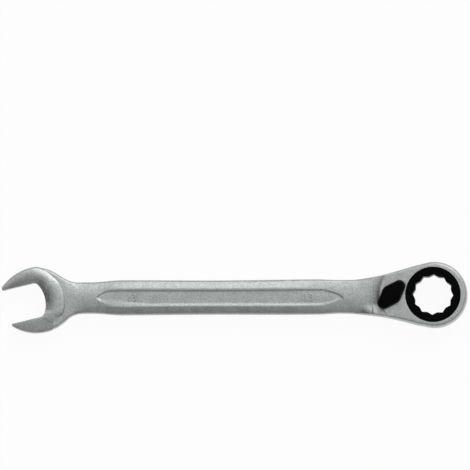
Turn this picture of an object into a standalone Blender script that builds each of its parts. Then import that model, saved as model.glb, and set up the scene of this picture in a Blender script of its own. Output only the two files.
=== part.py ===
"""Reversible ratcheting combination wrench, 13 mm.

The wrench lies flat with its length along X: the open jaw is at -X, the ratchet head at +X and
the reversing lever on the +Z side. Z = 0 is the back face of the ratchet head, and the middle
plane of the forging is half a head thickness above it.
"""
from math import acos, asin, atan2, cos, degrees, hypot, pi, radians, sin, sqrt, tan

import bmesh
import bpy
from mathutils import Matrix, Vector

mm = 0.001

# ---- driving dimensions ------------------------------------------------------------------------
# Open jaw
jaw_opening = 13.1 * mm        # between the two flats
jaw_tilt = 13.1                # degrees that the jaw's axis is turned from the shank
jaw_drop = 1.31 * mm           # the jaw's centre lies this far below the shank's axis
jaw_thickness = 6.2 * mm
jaw_back_radius = 13.5 * mm    # raised jaw face towards the neck
upper_lobe_radius = 18.3 * mm  # outer side of each lobe
lower_lobe_radius = 16.5 * mm
lobe_widest = 3.3 * mm         # along the jaw's axis, where a lobe is widest
lobe_reach = 12.45 * mm        # from the jaw's axis to a lobe's widest place
upper_tip = 9.3 * mm           # from the jaw's centre to the end of each lobe
lower_tip = 8.4 * mm
throat_depth = 5.87 * mm       # from the jaw's centre to the bottom of the mouth
throat_radius = 11.3 * mm
throat_corner = 2.2 * mm
jaw_rim = 0.9 * mm             # rounding round the jaw's outer edge

# Shank
centre_distance = 151.64 * mm  # ring centre to jaw centre, along the shank
shank_thickness = 5.4 * mm
waist_distance = 12.0 * mm     # from the ramp's foot to the waist
waist_half_width = 6.27 * mm
waist_run = 9.0 * mm           # length over which the waist widens into the shank
shank_half_width = 6.48 * mm
shank_swell = 0.1 * mm         # the shank is a little wider near both ends
near_swell = 13.0 * mm         # from the waist to the widest place at that end
far_swell = 10.0 * mm          # from the neck to the widest place at the other end
neck_half_width = 5.85 * mm
neck_length = 9.5 * mm         # from the raised jaw face to the narrowest place
neck_taper = 12 * mm           # length over which the shank narrows to the neck
web_radius = 12.5 * mm         # round of the web that joins the neck to the jaw
web_inset = 2.2 * mm           # its centre, along the jaw's axis
web_slope = 55.0               # degrees at which the round runs down to the neck
upper_fillet = 5.5 * mm        # spread of the fillet between the neck and the web
lower_fillet = 9.5 * mm
web_rim = 1.6 * mm
web_rim_lead = 6.0 * mm        # the shank's rim starts to narrow this far ahead of the neck
web_rim_lag = 2.0 * mm         # and is down to the web's rim this far behind it
web_lead = 5.0 * mm            # the stations finish turning this far inside the jaw's round
web_start = 1.0 * mm           # the web starts this far ahead of the throat, inside the lobes
waist_blend = 1.3 * mm         # spread of the fillet between the shank and the head's taper
shank_edge = 0.35 * mm         # half height of the shank's upright edge
shank_fullness = 2.3           # 2 is an oval section, more is squarer

# Sunk panels on both faces of the shank
panel_half_width = 3.2 * mm
panel_margin = 0.15 * mm       # flat strip beside the panel
panel_depth = 0.5 * mm
panel_start = 11.1 * mm        # from the ramp's foot to the near tip
panel_end = 25.24 * mm         # from the jaw's centre to the far tip
panel_near_point = 11.7 * mm   # length of each pointed end
panel_far_point = 9.0 * mm
panel_arch = 0.9               # 1 is an oval end, less is more pointed

# Ratchet head
head_wall = 1.4 * mm           # round the gear's chamber
head_offset = 0.5 * mm         # the head's round is centred this far beyond the ring
head_thickness = 9.4 * mm
head_rim = 1.3 * mm            # rounding round the head's edge
head_taper = 15.7              # degrees, each side from the round to the shank
face_past_post = 1.55 * mm     # from the lever's axis to the ramp's top, at the sides
ramp_length = 5.5 * mm
ramp_rim = 2.5 * mm            # rounding of the shank's edge at the ramp's foot
ramp_rim_run = 8.0 * mm        # length over which the shank's rim narrows to it
face_arc = 11.8 * mm           # plan radius of the raised face's end
face_arc_run = 8.0 * mm        # length of the head over which that arc fades out

# Ratchet gear
gear_teeth = 72
gear_tip_radius = 10.7 * mm
tooth_depth = 0.42 * mm
gear_face_width = 5.3 * mm     # toothed length
gear_front = 2.45 * mm         # from the middle plane to the teeth's front end
tooth_land = 0.22              # share of half a pitch, each side of a tip or a root
front_collar_step = 0.13 * mm  # from the teeth's roots down to the collars
rear_collar_step = 0.33 * mm
collar_recess = 0.1 * mm       # collars stop this far inside the head's faces
across_flats = 13.2 * mm       # of the 12-point bore
point_turn = -2.5              # degrees that the 12 points are turned from the head's axis
crest_cut = 0.1 * mm           # the crests between the points are blunted by this much
crest_land = 4.0               # degrees
lead_in = 0.4 * mm             # chamfer at both ends of the bore

# Pawl
post_distance = 5.05 * mm      # from the gear's tips to the lever's axis
pawl_travel = 10.0             # degrees between its two engaged places
pawl_thickness = 3.25 * mm
pawl_front = 1.25 * mm         # from the middle plane to the pawl's front face
pawl_first_tooth = 3           # each end meshes between these two gear teeth, counted from
pawl_last_tooth = 6            # the head's axis
pawl_tip = 1.5                 # degrees that each arm runs on past its last tooth
pawl_slant = 2.0               # degrees that each arm's end leans back
pawl_web = 1.65 * mm           # thickness of its arms behind the teeth
pawl_wall = 1.7 * mm           # thickness beside its cradle
pawl_lead = 5.0                # degrees from its plain face to the first tooth
cradle_half_angle = 78.0       # degrees

# Reversing lever
lever_turn = 46.5              # degrees from the head's axis, at both ends of its swing
lever_half_length = 6.47 * mm
lever_half_width = 3.65 * mm
lever_tip_round = 2.15 * mm
lever_side_round = 3.5 * mm
lever_plate = 1.8 * mm
lever_bevel = 0.45 * mm
lever_under_edge = 0.25 * mm   # chamfer below the plate
post_radius = 2.0 * mm
post_foot_radius = 1.45 * mm
post_foot_length = 1.5 * mm

# Detent in the post
detent_bore_radius = 0.8 * mm
detent_depth = 1.25 * mm       # past the post's centre
detent_height = -0.35 * mm     # from the middle plane
plunger_radius = 0.68 * mm
plunger_length = 1.1 * mm      # straight part behind the dome
spring_wire = 0.11 * mm
spring_turns = 5

# Rings and clips
seal_section = 0.35 * mm       # radius of the lever's O-ring
friction_section = 0.3 * mm    # radius of the gear's friction ring
snap_thickness = 0.6 * mm
snap_radial = 1.0 * mm
snap_gap_angle = 16.0          # degrees, opening of the gear's snap ring
snap_gap_facing = 200.0
clip_thickness = 0.6 * mm
clip_radial = 1.15 * mm
clip_gap_angle = 100.0
clip_groove_depth = 0.45 * mm

# Clearances
gap = 0.3 * mm                 # between pieces that touch in the real wrench
running = 0.15 * mm            # round the post and between meshed teeth
small_gap = 0.1 * mm           # round the small rings
lip_clearance = 0.25 * mm      # between the gear's front collar and the head
cradle_clearance = 0.9 * mm    # between the post and the pawl's cradle, where the plunger works
cradle_relief = 0.4 * mm       # round hollow of the pocket behind the cradle
hollow_clearance = 0.35 * mm   # between the pawl's plain face and the gear
pocket_clearance = 0.6 * mm    # behind the pawl at the end of its swing
chamber_overlap = 1.0 * mm     # the pocket's walls run on this far into the gear's chamber
clip_float = 0.2 * mm          # from the pawl up to the clip
clip_headroom = 0.25 * mm      # from the clip up to the pocket's roof

# ---- places worked out from the sizes ----------------------------------------------------------
mid = head_thickness / 2
jaw_half = jaw_thickness / 2
shank_half = shank_thickness / 2
tilt = radians(jaw_tilt)


def jaw_point(u, v):
    """A place in the jaw's own axes, from the ring's centre: u points into the throat."""
    return (-centre_distance + u * cos(tilt) - v * sin(tilt),
            -jaw_drop + u * sin(tilt) + v * cos(tilt))


def lobe_edge(u, side):
    """Half width of the jaw across its axis at u, on the upper (1) or lower (-1) side."""
    radius = upper_lobe_radius if side > 0 else lower_lobe_radius
    return lobe_reach - radius + sqrt(radius ** 2 - (u - lobe_widest) ** 2)


gear_root_radius = gear_tip_radius - tooth_depth
front_collar_radius = gear_root_radius - front_collar_step
rear_collar_radius = gear_root_radius - rear_collar_step
chamber_radius = gear_tip_radius + gap
head_radius = chamber_radius + head_wall
pivot_distance = gear_tip_radius + post_distance
face_length = pivot_distance + face_past_post

ring_end = head_offset + head_radius
jaw_end = -jaw_point(-upper_tip, lobe_edge(-upper_tip, 1))[0]
ring_x = (jaw_end - ring_end) / 2          # puts X = 0 half way along the wrench
pivot_x = ring_x - pivot_distance

gear_back = gear_front - gear_face_width
lip_radius = front_collar_radius + lip_clearance
shoulder_gap = 2 * friction_section + 2 * small_gap
lip_floor = gear_front + shoulder_gap
snap_front = gear_back - 2 * small_gap
snap_back = snap_front - snap_thickness
snap_inner = rear_collar_radius + gap
snap_outer = snap_inner + snap_radial
groove_radius = snap_outer + small_gap

tooth_pitch = 360 / gear_teeth
arm_angle = pawl_last_tooth * tooth_pitch + pawl_tip
pawl_back = pawl_front - pawl_thickness
cradle_radius = post_radius + cradle_clearance
clip_back = pawl_front + clip_float
clip_front = clip_back + clip_thickness
pocket_front = clip_front + clip_headroom
pocket_back = pawl_back - gap
clip_groove_radius = post_radius - clip_groove_depth
clip_inner = clip_groove_radius + small_gap
clip_outer = clip_inner + clip_radial
hole_radius = post_radius + running
seal_seat_radius = post_radius + 2 * seal_section + 2 * small_gap
seal_seat_depth = 2 * seal_section + 2 * small_gap
detent_direction = radians(lever_turn)


# ---- modelling helpers -------------------------------------------------------------------------
def clear_scene():
    for item in list(bpy.data.objects):
        bpy.data.objects.remove(item, do_unlink=True)


def material(name, colour, roughness, metallic):
    made = bpy.data.materials.new(name)
    made.use_nodes = True
    shader = made.node_tree.nodes["Principled BSDF"]
    shader.inputs["Base Color"].default_value = (*colour, 1.0)
    shader.inputs["Roughness"].default_value = roughness
    shader.inputs["Metallic"].default_value = metallic
    return made


def add_object(name, bm, finish=None, smooth_angle=35.0):
    """Turns a bmesh into a scene object, shaded smooth up to the given edge angle."""
    bmesh.ops.recalc_face_normals(bm, faces=bm.faces)
    mesh = bpy.data.meshes.new(name)
    bm.to_mesh(mesh)
    bm.free()
    mesh.shade_smooth()
    mesh.set_sharp_from_angle(angle=radians(smooth_angle))
    made = bpy.data.objects.new(name, mesh)
    bpy.context.scene.collection.objects.link(made)
    if finish:
        mesh.materials.append(finish)
    return made


def skin(loops, ring=False):
    """Skins equal loops of points in order; the ends are capped, or joined if ring is set."""
    bm = bmesh.new()
    rows = [[bm.verts.new(point) for point in loop] for loop in loops]
    pairs = list(zip(rows, rows[1:]))
    if ring:
        pairs.append((rows[-1], rows[0]))
    else:
        bm.faces.new(rows[0])
        bm.faces.new(rows[-1])
    for low, high in pairs:
        for i in range(len(low)):
            j = (i + 1) % len(low)
            bm.faces.new((low[i], low[j], high[j], high[i]))
    return bm


def circle(radius, z, segments, centre=(0.0, 0.0)):
    turns = [2 * pi * (i + 0.5) / segments for i in range(segments)]
    return [(centre[0] + radius * cos(a), centre[1] + radius * sin(a), z) for a in turns]


def turned(profile, segments, centre=(0.0, 0.0), ring=False):
    """A turned piece from (radius, z) pairs."""
    return skin([circle(r, z, segments, centre) for r, z in profile], ring)


def ring_section(radius, z, section, sides=8):
    step = 2 * pi / sides
    return [(radius + section * cos(i * step), z + section * sin(i * step))
            for i in range(sides)]


def prism(outline, low, high):
    return skin([[(x, y, z) for x, y in outline] for z in (low, high)])


def arc(centre, radius, start, stop, steps):
    """Points on an arc, angles in degrees, both ends included."""
    span = radians(stop - start)
    return [(centre[0] + radius * cos(radians(start) + span * i / steps),
             centre[1] + radius * sin(radians(start) + span * i / steps))
            for i in range(steps + 1)]


def open_ring(inner, outer, gap_angle, facing, steps):
    """Outline of an open ring whose gap faces the given direction."""
    start, stop = facing + gap_angle / 2, facing + 360 - gap_angle / 2
    return arc((0, 0), outer, start, stop, steps) + arc((0, 0), inner, stop, start, steps)


def operand(host, name, bm, operation):
    """Adds or cuts a shape on a host object with an exact Boolean."""
    tool = add_object(name, bm)
    tool.hide_render = True
    tool.display_type = 'WIRE'
    step = host.modifiers.new(name, 'BOOLEAN')
    step.operation = operation
    step.solver = 'EXACT'
    step.object = tool
    return tool


def shift(outline, dx, dy=0.0):
    return [(x + dx, y + dy) for x, y in outline]


def turn_point(point, angle):
    x, y = point
    return (x * cos(angle) - y * sin(angle), x * sin(angle) + y * cos(angle))


def inset(outline, amount):
    """Moves a counter-clockwise outline inwards along its corners' normals."""
    count = len(outline)
    moved = []
    for i in range(count):
        before, here, after = (Vector(outline[(i + k) % count]) for k in (-1, 0, 1))
        first = (here - before).normalized()
        second = (after - here).normalized()
        normal = Vector((-first.y - second.y, first.x + second.x)).normalized()
        reach = amount / max(0.5, normal.dot(Vector((-first.y, first.x))))
        moved.append(tuple(here + normal * reach))
    return moved


# ---- the forging -------------------------------------------------------------------------------
def smooth_max(a, b, blend):
    """The larger of two sizes, with a fillet where they cross."""
    return max(a, b) + max(blend - abs(a - b), 0.0) ** 2 / (4 * blend)


def ease(value, low, high):
    share = min(1.0, max(0.0, (value - low) / (high - low)))
    return share * share * (3 - 2 * share)


neck_x = -(centre_distance - jaw_back_radius - neck_length)
jaw_face_x = -(centre_distance - jaw_back_radius)
ramp_foot = -(face_length + ramp_length)
waist_x = ramp_foot - waist_distance
tangent_angle = 90 + head_taper
taper_start = head_offset + head_radius * cos(radians(tangent_angle))


def shank_axis_turn(x):
    """Stations turn from square to the shank to square to the jaw's axis."""
    return tilt * ease(-x, -neck_x, -jaw_face_x + web_lead)


def web_edge(x, side):
    """Reach of the round web behind the jaw, from the shank's axis along the station."""
    turn = shank_axis_turn(x)
    centre = jaw_point(web_inset, 0)
    away = (centre[0] - x, centre[1])
    across = side * (-sin(turn) * away[0] + cos(turn) * away[1])
    behind = -(cos(turn) * away[0] + sin(turn) * away[1])
    leave = web_radius * sin(radians(web_slope))
    if behind < leave:
        return across + sqrt(web_radius ** 2 - behind ** 2)
    return across + web_radius * cos(radians(web_slope)) - (behind - leave) * tan(radians(web_slope))


def half_width(x, side):
    """Half width of the forging at x (from the ring's centre), on one side of its axis."""
    taper = head_radius * sin(radians(tangent_angle))
    taper -= (taper_start - x) * tan(radians(head_taper))
    crest, next_crest = waist_x - near_swell, neck_x + far_swell
    swell = shank_swell * cos(2 * pi * (x - crest) / (next_crest - crest))
    past_waist = ease(-x, -waist_x, -waist_x + waist_run)
    body = waist_half_width
    body += (shank_half_width + swell - waist_half_width) * past_waist
    body += (neck_half_width - body) * ease(-x, -neck_x - neck_taper, -neck_x)
    body = smooth_max(body, taper, waist_blend)
    return smooth_max(body, web_edge(x, side), upper_fillet if side > 0 else lower_fillet)


def edge_point(x, side):
    turn = shank_axis_turn(x)
    reach = side * half_width(x, side)
    return (x - reach * sin(turn), reach * cos(turn))


section_steps = 5
face_steps = 5                 # odd, so that no row of points runs along the middle


def section(edge, normal, flat, upright, half, fullness, bow):
    """Upper quarter of a station: from the outer edge over the rim to the flat's edge."""
    points = []
    for k in range(section_steps + 1):
        angle = pi / 2 * k / section_steps
        across = cos(angle) ** (2 / fullness)
        up = sin(angle) ** (2 / fullness)
        inward = flat * (1 - across)
        x = edge[0] - normal[0] * inward
        y = edge[1] - normal[1] * inward
        points.append((x - bow(y), y, upright + (half - upright) * up))
    return points


def station(upper, lower, bow):
    """A closed loop round the forging from its upper (+Y) and lower (-Y) quarters."""
    inner_up, inner_low = upper[-1], lower[-1]
    face = []
    for k in range(1, face_steps):
        share = k / face_steps
        y = inner_up[1] + (inner_low[1] - inner_up[1]) * share
        base = inner_up[0] + bow(inner_up[1])
        base += (inner_low[0] + bow(inner_low[1]) - base) * share
        face.append((base - bow(y), y, inner_up[2]))
    top = upper + face + lower[::-1]
    bottom = [(x, y, -z) for x, y, z in reversed(top)]
    return [(x + ring_x, y, mid + z) for x, y, z in top + bottom]


def shank_station(x):
    """Station of the shank, the neck, the ramp or the head's straight taper."""
    climb = min(1.0, max(0.0, (x - ramp_foot) / ramp_length))
    cove = 1 - sqrt(1 - climb * climb)
    half = shank_half + (mid - shank_half) * cove
    upright = shank_edge + (mid - head_rim - shank_edge) * cove
    fullness = shank_fullness + (2.0 - shank_fullness) * climb
    bow_share = ease(x, waist_x, ramp_foot)
    bow_share *= 1 - ease(x, -face_length, -face_length + face_arc_run)
    side_y = half_width(-face_length, 1)

    def bow(y):
        inside = min(abs(y), side_y)
        return bow_share * (sqrt(face_arc ** 2 - inside ** 2) - sqrt(face_arc ** 2 - side_y ** 2))

    quarters = []
    for side in (1, -1):
        edge = edge_point(x, side)
        ahead, behind = edge_point(x + 0.1 * mm, side), edge_point(x - 0.1 * mm, side)
        run = (ahead[0] - behind[0], ahead[1] - behind[1])
        normal = (-side * run[1] / hypot(*run), side * run[0] / hypot(*run))
        rim = half_width(x, side) - panel_half_width - panel_margin
        rim += (ramp_rim - rim) * ease(x, ramp_foot - ramp_rim_run, ramp_foot)
        rim += (head_rim - rim) * climb
        rim += (web_rim - rim) * ease(-x, -neck_x - web_rim_lead, -neck_x + web_rim_lag)
        quarters.append(section(edge, normal, rim, upright, half, fullness, bow))
    return station(quarters[0], quarters[1], bow)


def head_station(angle):
    """Station of the head's round end, along the radius at this angle from +X."""
    quarters = []
    for side in (1, -1):
        normal = (cos(radians(angle)), side * sin(radians(angle)))
        edge = (head_offset + head_radius * normal[0], head_radius * normal[1])
        quarters.append(section(edge, normal, head_rim, mid - head_rim, mid, 2.0,
                                lambda y: 0.0))
    return station(quarters[0], quarters[1], lambda y: 0.0)


def spaced(start, stop, steps):
    return [start + (stop - start) * i / steps for i in range(steps)]


def shank_and_head():
    """One skin from inside the jaw, along the shank and round the ratchet head."""
    start = -(centre_distance - throat_depth + web_start)
    places = spaced(start, jaw_face_x, 7)
    places += spaced(jaw_face_x, neck_x, 10)
    places += spaced(neck_x, waist_x - waist_run, 13)
    places += spaced(waist_x - waist_run, ramp_foot, 8)
    places += [ramp_foot + ramp_length * sin(pi / 2 * i / 6) for i in range(6)]
    places += spaced(-face_length, taper_start, 4)
    loops = [shank_station(x) for x in places]
    loops += [head_station(tangent_angle * (1 - i / 16)) for i in range(17)]
    bm = skin(loops[:-1])
    close_end(bm, loops[-1])
    merge_flats(bm)
    return bm


def close_end(bm, last):
    """Draws the skin's open end together at the tip of the head's round."""
    bm.verts.ensure_lookup_table()
    row = bm.verts[-len(last):]
    cap = [face for face in row[0].link_faces if len(face.verts) == len(last)]
    bmesh.ops.delete(bm, geom=cap, context='FACES_ONLY')
    ends = [bm.verts.new(point) for point in last]
    for i in range(len(row)):
        j = (i + 1) % len(row)
        bm.faces.new((row[i], row[j], ends[j], ends[i]))
    bmesh.ops.remove_doubles(bm, verts=ends, dist=1e-7)
    bmesh.ops.dissolve_degenerate(bm, edges=bm.edges, dist=1e-8)


def merge_flats(bm):
    """Joins the skin's level faces into whole ones, so that cuts through them stay clean."""
    bmesh.ops.recalc_face_normals(bm, faces=bm.faces)
    level = [edge for edge in bm.edges
             if all(abs(face.normal.z) > 1 - 1e-9 for face in edge.link_faces)]
    bmesh.ops.dissolve_edges(bm, edges=level, use_verts=True)


def lobe_end(side):
    """Where a lobe's outer arc meets the round at the back of the jaw, along the jaw's axis."""
    radius = upper_lobe_radius if side > 0 else lower_lobe_radius
    off_axis = lobe_reach - radius
    between = hypot(lobe_widest, off_axis)
    along = (jaw_back_radius ** 2 - radius ** 2 + between ** 2) / (2 * between)
    across = sqrt(jaw_back_radius ** 2 - along ** 2)
    return (along * lobe_widest - across * off_axis) / between


def jaw_outline():
    """The raised jaw face without its mouth, counter-clockwise."""
    upper_end, lower_end = lobe_end(1), lobe_end(-1)
    upper = spaced(upper_end, -upper_tip, 12) + [-upper_tip]
    lower = spaced(-lower_tip, lower_end, 12) + [lower_end]
    outline = [(u, lobe_edge(u, 1)) for u in upper]
    outline += [(u, -lobe_edge(u, -1)) for u in lower]
    start = -degrees(atan2(lobe_edge(lower_end, -1), lower_end))
    stop = degrees(atan2(lobe_edge(upper_end, 1), upper_end))
    outline += arc((0, 0), jaw_back_radius, start, stop, 20)[1:-1]
    return [jaw_point(u, v) for u, v in outline]


def jaw_plate():
    outline = jaw_outline()
    levels = []
    for k in range(4):
        angle = pi / 2 * k / 3
        levels.append((jaw_rim * (1 - cos(angle)), jaw_half - jaw_rim * (1 - sin(angle))))
    loops = [(d, -z) for d, z in reversed(levels)] + levels
    return skin([[(x + ring_x, y, mid + z) for x, y in inset(outline, d)] for d, z in loops])


def mouth_outline():
    """The mouth between the flats: a shallow throat arc and two rounded corners."""
    flat = jaw_opening / 2
    throat_u = throat_depth - throat_radius
    corner_v = flat - throat_corner
    corner_u = throat_u + sqrt((throat_radius - throat_corner) ** 2 - corner_v ** 2)
    turn = degrees(asin(corner_v / (throat_radius - throat_corner)))
    open_u = -2 * upper_tip
    half = arc((throat_u, 0), throat_radius, 0, turn, 6)
    half += arc((corner_u, corner_v), throat_corner, turn, 90, 6)[1:]
    half.append((open_u, flat))
    return [(u, -v) for u, v in reversed(half)] + half[1:]


def panel_outline():
    """A long panel with pointed arch ends, counter-clockwise from its near tip."""
    def pointed(tip, length, direction):
        return [(tip + direction * length * (1 - sin(pi / 2 * i / 6)),
                 panel_half_width * cos(pi / 2 * i / 6) ** panel_arch) for i in range(6)]
    near_tip, far_tip = ramp_foot - panel_start, panel_end - centre_distance
    near = pointed(near_tip, panel_near_point, -1)
    far = pointed(far_tip, panel_far_point, 1)
    upper = [(near_tip, 0.0)] + near[::-1] + far + [(far_tip, 0.0)]
    return upper + [(x, -y) for x, y in upper[-2:0:-1]]


def from_ring(angle, radius):
    """A place round the ring's centre, measured from the lever's axis; 0 degrees faces the shank."""
    return (pivot_distance - radius * cos(radians(angle)), radius * sin(radians(angle)))


def arm_corner():
    """Outer corner of the pawl's upper arm, with its teeth in the gear."""
    return from_ring(arm_angle - pawl_slant, gear_tip_radius + pawl_web)


def pawl_shoulder():
    """Corner of the pawl beside its cradle, half way between its two places."""
    return turn_point((cradle_radius + pawl_wall, 0), radians(cradle_half_angle))


def pocket_outline():
    """Pawl pocket in plan, measured from the lever's axis: it clears the pawl's swing."""
    swing = radians(pawl_travel / 2)
    shoulder = Vector(turn_point(pawl_shoulder(), swing))
    corner = Vector(turn_point(arm_corner(), 2 * swing))
    run = (corner - shoulder).normalized()
    out = Vector((-run.y, run.x)) * pocket_clearance
    side = corner.y + gap
    back = shoulder + out
    meet = back + run * ((side - back.y) / run.y)
    inside = pivot_distance - sqrt(chamber_radius ** 2 - side ** 2) + chamber_overlap
    half = [tuple(back), tuple(meet), (inside, side)]
    return half + [(x, -y) for x, y in reversed(half)]


def bore_profile():
    """Stepped bore of the head, from the middle plane: lip, chamber and snap ring groove."""
    past = mid + gap
    return [(lip_radius, past), (lip_radius, lip_floor), (chamber_radius, lip_floor),
            (chamber_radius, snap_front + small_gap), (groove_radius, snap_front + small_gap),
            (groove_radius, snap_back - small_gap), (chamber_radius, snap_back - small_gap),
            (chamber_radius, -past)]


def lever_bore_profile():
    """Seal seat, post hole, round end of the pocket and blind hole for the post's foot."""
    seat = mid - seal_seat_depth
    foot = pocket_back - post_foot_length
    return [(seal_seat_radius, mid + gap), (seal_seat_radius, seat), (hole_radius, seat),
            (hole_radius, pocket_front), (cradle_radius + cradle_relief, pocket_front),
            (cradle_radius + cradle_relief, pocket_back),
            (post_foot_radius + running, pocket_back), (post_foot_radius + running, foot)]


def lifted(profile):
    return [(r, z + mid) for r, z in profile]


def build_body(finish):
    """The forging, less one tool that joins the bore, the pawl's pocket, the mouth and the rest."""
    body = add_object("wrench_body", shank_and_head(), finish)
    operand(body, "jaw_plate_form", jaw_plate(), 'UNION')
    cuts = operand(body, "bore_cutter",
                   turned(lifted(bore_profile()), 72, (ring_x, 0)), 'DIFFERENCE')
    pocket = shift(pocket_outline(), pivot_x)
    operand(cuts, "pocket_cutter",
            prism(pocket, mid + pocket_back, mid + pocket_front), 'UNION')
    operand(cuts, "lever_hole_cutter",
            turned(lifted(lever_bore_profile()), 36, (pivot_x, 0)), 'UNION')
    mouth = [jaw_point(u, v) for u, v in mouth_outline()]
    operand(cuts, "mouth_cutter", prism(shift(mouth, ring_x), -mid, 3 * mid), 'UNION')
    panel = shift(panel_outline(), ring_x)
    for name, side in (("front_panel_cutter", 1), ("back_panel_cutter", -1)):
        floor = mid + side * (shank_half - panel_depth)
        operand(cuts, name, prism(panel, floor, mid + side * 2 * mid), 'UNION')
    return body


# ---- ratchet gear ------------------------------------------------------------------------------
def gear_outline(extra, start, stop):
    """Tooth profile from -X round the gear, in half pitches; extra opens it outwards."""
    half_pitch = pi / gear_teeth
    points = []
    for k in range(start, stop):
        tip = k % 2 == 0
        radius = (gear_tip_radius if tip else gear_root_radius) + extra
        land = tooth_land * half_pitch
        for side in (-1, 1):
            angle = k * half_pitch + side * land
            points.append((-radius * cos(angle), radius * sin(angle)))
    return points


def twelve_point(extra, z):
    """Outline of a 12-point bore with blunt crests, opened outwards by extra."""
    corner = across_flats / 2 / cos(pi / 6) + extra
    crest = across_flats / 2 / cos(pi / 12) + crest_cut + extra
    land = radians(crest_land / 2)
    outline = []
    for k in range(12):
        angle = radians(point_turn) + k * pi / 6
        outline.append((corner, angle))
        outline += [(crest, angle + pi / 12 - land), (crest, angle + pi / 12 + land)]
    return [(r * cos(angle), r * sin(angle), z) for r, angle in outline]


def build_gear(parent, finish):
    teeth = gear_outline(0.0, 0, 2 * gear_teeth)
    face = mid - collar_recess

    def round_loop(radius, z):
        return [(radius * x / hypot(x, y), radius * y / hypot(x, y), z) for x, y in teeth]

    loops = [round_loop(rear_collar_radius, -face), round_loop(rear_collar_radius, gear_back)]
    loops += [[(x, y, z) for x, y in teeth] for z in (gear_back, gear_front)]
    loops += [round_loop(front_collar_radius, gear_front), round_loop(front_collar_radius, face)]
    gear = add_object("ratchet_gear", skin(loops), finish)
    gear.parent = parent
    past = 2 * lead_in
    bore = [twelve_point(lead_in + past, -face - past), twelve_point(0, -face + lead_in),
            twelve_point(0, face - lead_in), twelve_point(lead_in + past, face + past)]
    operand(gear, "bore_form", skin(bore), 'DIFFERENCE').parent = parent
    return gear


# ---- pawl --------------------------------------------------------------------------------------
def pawl_outline():
    """The pawl half way between its two places, measured from the lever's axis."""
    mesh = gear_outline(running, 2 * pawl_first_tooth, 2 * pawl_last_tooth + 1)
    engaged = shift(mesh, pivot_distance)
    engaged += [from_ring(arm_angle, gear_tip_radius + gap), arm_corner()]
    arm = [turn_point(point, radians(pawl_travel / 2)) for point in engaged]
    plain_angle = pawl_first_tooth * tooth_pitch - pawl_lead
    middle = [from_ring(plain_angle * i / 3, gear_tip_radius + hollow_clearance)
              for i in range(4)]
    cradle = arc((0, 0), cradle_radius, cradle_half_angle, 0, 8)
    upper = middle + arm + [pawl_shoulder()] + cradle
    lower = [(x, -y) for x, y in upper[::-1]]
    return upper + lower[1:-1]


def build_pawl(parent, finish):
    pawl = add_object("pawl", prism(pawl_outline(), pawl_back, pawl_front), finish)
    pawl.parent = parent
    pawl.rotation_euler.z = -radians(pawl_travel / 2)
    return pawl


# ---- reversing lever and what its post carries ---------------------------------------------------
def lever_outline(shrink):
    """Lozenge with round corners, long axis along X, drawn in by shrink."""
    tip = lever_tip_round - shrink
    side = lever_side_round - shrink
    tip_at = lever_half_length - lever_tip_round
    side_at = lever_half_width - lever_side_round
    lean = acos((lever_side_round - lever_tip_round) / hypot(tip_at, side_at))
    lean = degrees(lean - atan2(side_at, tip_at))
    right = arc((tip_at, 0), tip, -lean, lean, 8)
    top = arc((0, side_at), side, lean, 180 - lean, 4)
    left = arc((-tip_at, 0), tip, 180 - lean, 180 + lean, 8)
    low = arc((0, -side_at), side, 180 + lean, 360 - lean, 4)
    return right + top + left + low


def build_lever(parent, finish):
    low = mid + gap
    high = low + lever_plate
    levels = [(lever_under_edge, low), (0.0, low + lever_under_edge), (0.0, high - lever_bevel),
              (0.3 * lever_bevel, high - 0.3 * lever_bevel), (lever_bevel, high)]
    plate = skin([[(x, y, z) for x, y in lever_outline(d)] for d, z in levels])
    lever = add_object("reversing_lever", plate, finish)
    foot = pocket_back - post_foot_length + gap
    shoulder = pocket_back + gap
    post = [(post_foot_radius, foot), (post_foot_radius, shoulder), (post_radius, shoulder),
            (post_radius, clip_back - small_gap), (clip_groove_radius, clip_back - small_gap),
            (clip_groove_radius, clip_front + small_gap),
            (post_radius, clip_front + small_gap), (post_radius, low + lever_plate / 2)]
    operand(lever, "post_form", turned(post, 36), 'UNION').parent = parent
    drill = turned([(detent_bore_radius, -detent_depth), (detent_bore_radius, 2 * post_radius)],
                   20)
    drill.transform(Matrix.Translation((0, 0, detent_height))
                    @ Matrix.Rotation(pi / 2, 4, 'Y'))
    operand(lever, "detent_drill", drill, 'DIFFERENCE').parent = parent
    lever.parent = parent
    return lever


def build_detent(parent, plunger_finish, spring_finish):
    """Plunger and spring lie along the lever's long axis, in the post's cross bore."""
    nose = cradle_radius - small_gap
    shoulder = nose - plunger_radius
    seat = shoulder - plunger_length
    dome = [(plunger_radius * cos(pi / 2 * i / 5), shoulder + plunger_radius * sin(pi / 2 * i / 5))
            for i in range(5)]
    profile = [(plunger_radius, seat)] + dome + [(0.1 * plunger_radius, nose)]
    along = Matrix.Translation((0, 0, detent_height)) @ Matrix.Rotation(pi / 2, 4, 'Y')
    bm = turned(profile, 20)
    bm.transform(along)
    plunger = add_object("detent_plunger", bm, plunger_finish)
    plunger.parent = parent

    coil_radius = detent_bore_radius - spring_wire - small_gap
    start = -detent_depth + spring_wire + small_gap
    stop = seat - spring_wire - small_gap
    per_turn = 12
    count = spring_turns * per_turn
    curve = bpy.data.curves.new("detent_spring", 'CURVE')
    curve.dimensions = '3D'
    curve.bevel_depth = spring_wire
    curve.bevel_resolution = 1
    curve.use_fill_caps = True
    path = curve.splines.new('POLY')
    path.points.add(count)
    for i in range(count + 1):
        angle = 2 * pi * i / per_turn
        path.points[i].co = (start + (stop - start) * i / count, coil_radius * cos(angle),
                             detent_height + coil_radius * sin(angle), 1)
    curve.materials.append(spring_finish)
    spring = bpy.data.objects.new("detent_spring", curve)
    bpy.context.scene.collection.objects.link(spring)
    spring.parent = parent
    return plunger, spring


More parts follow.
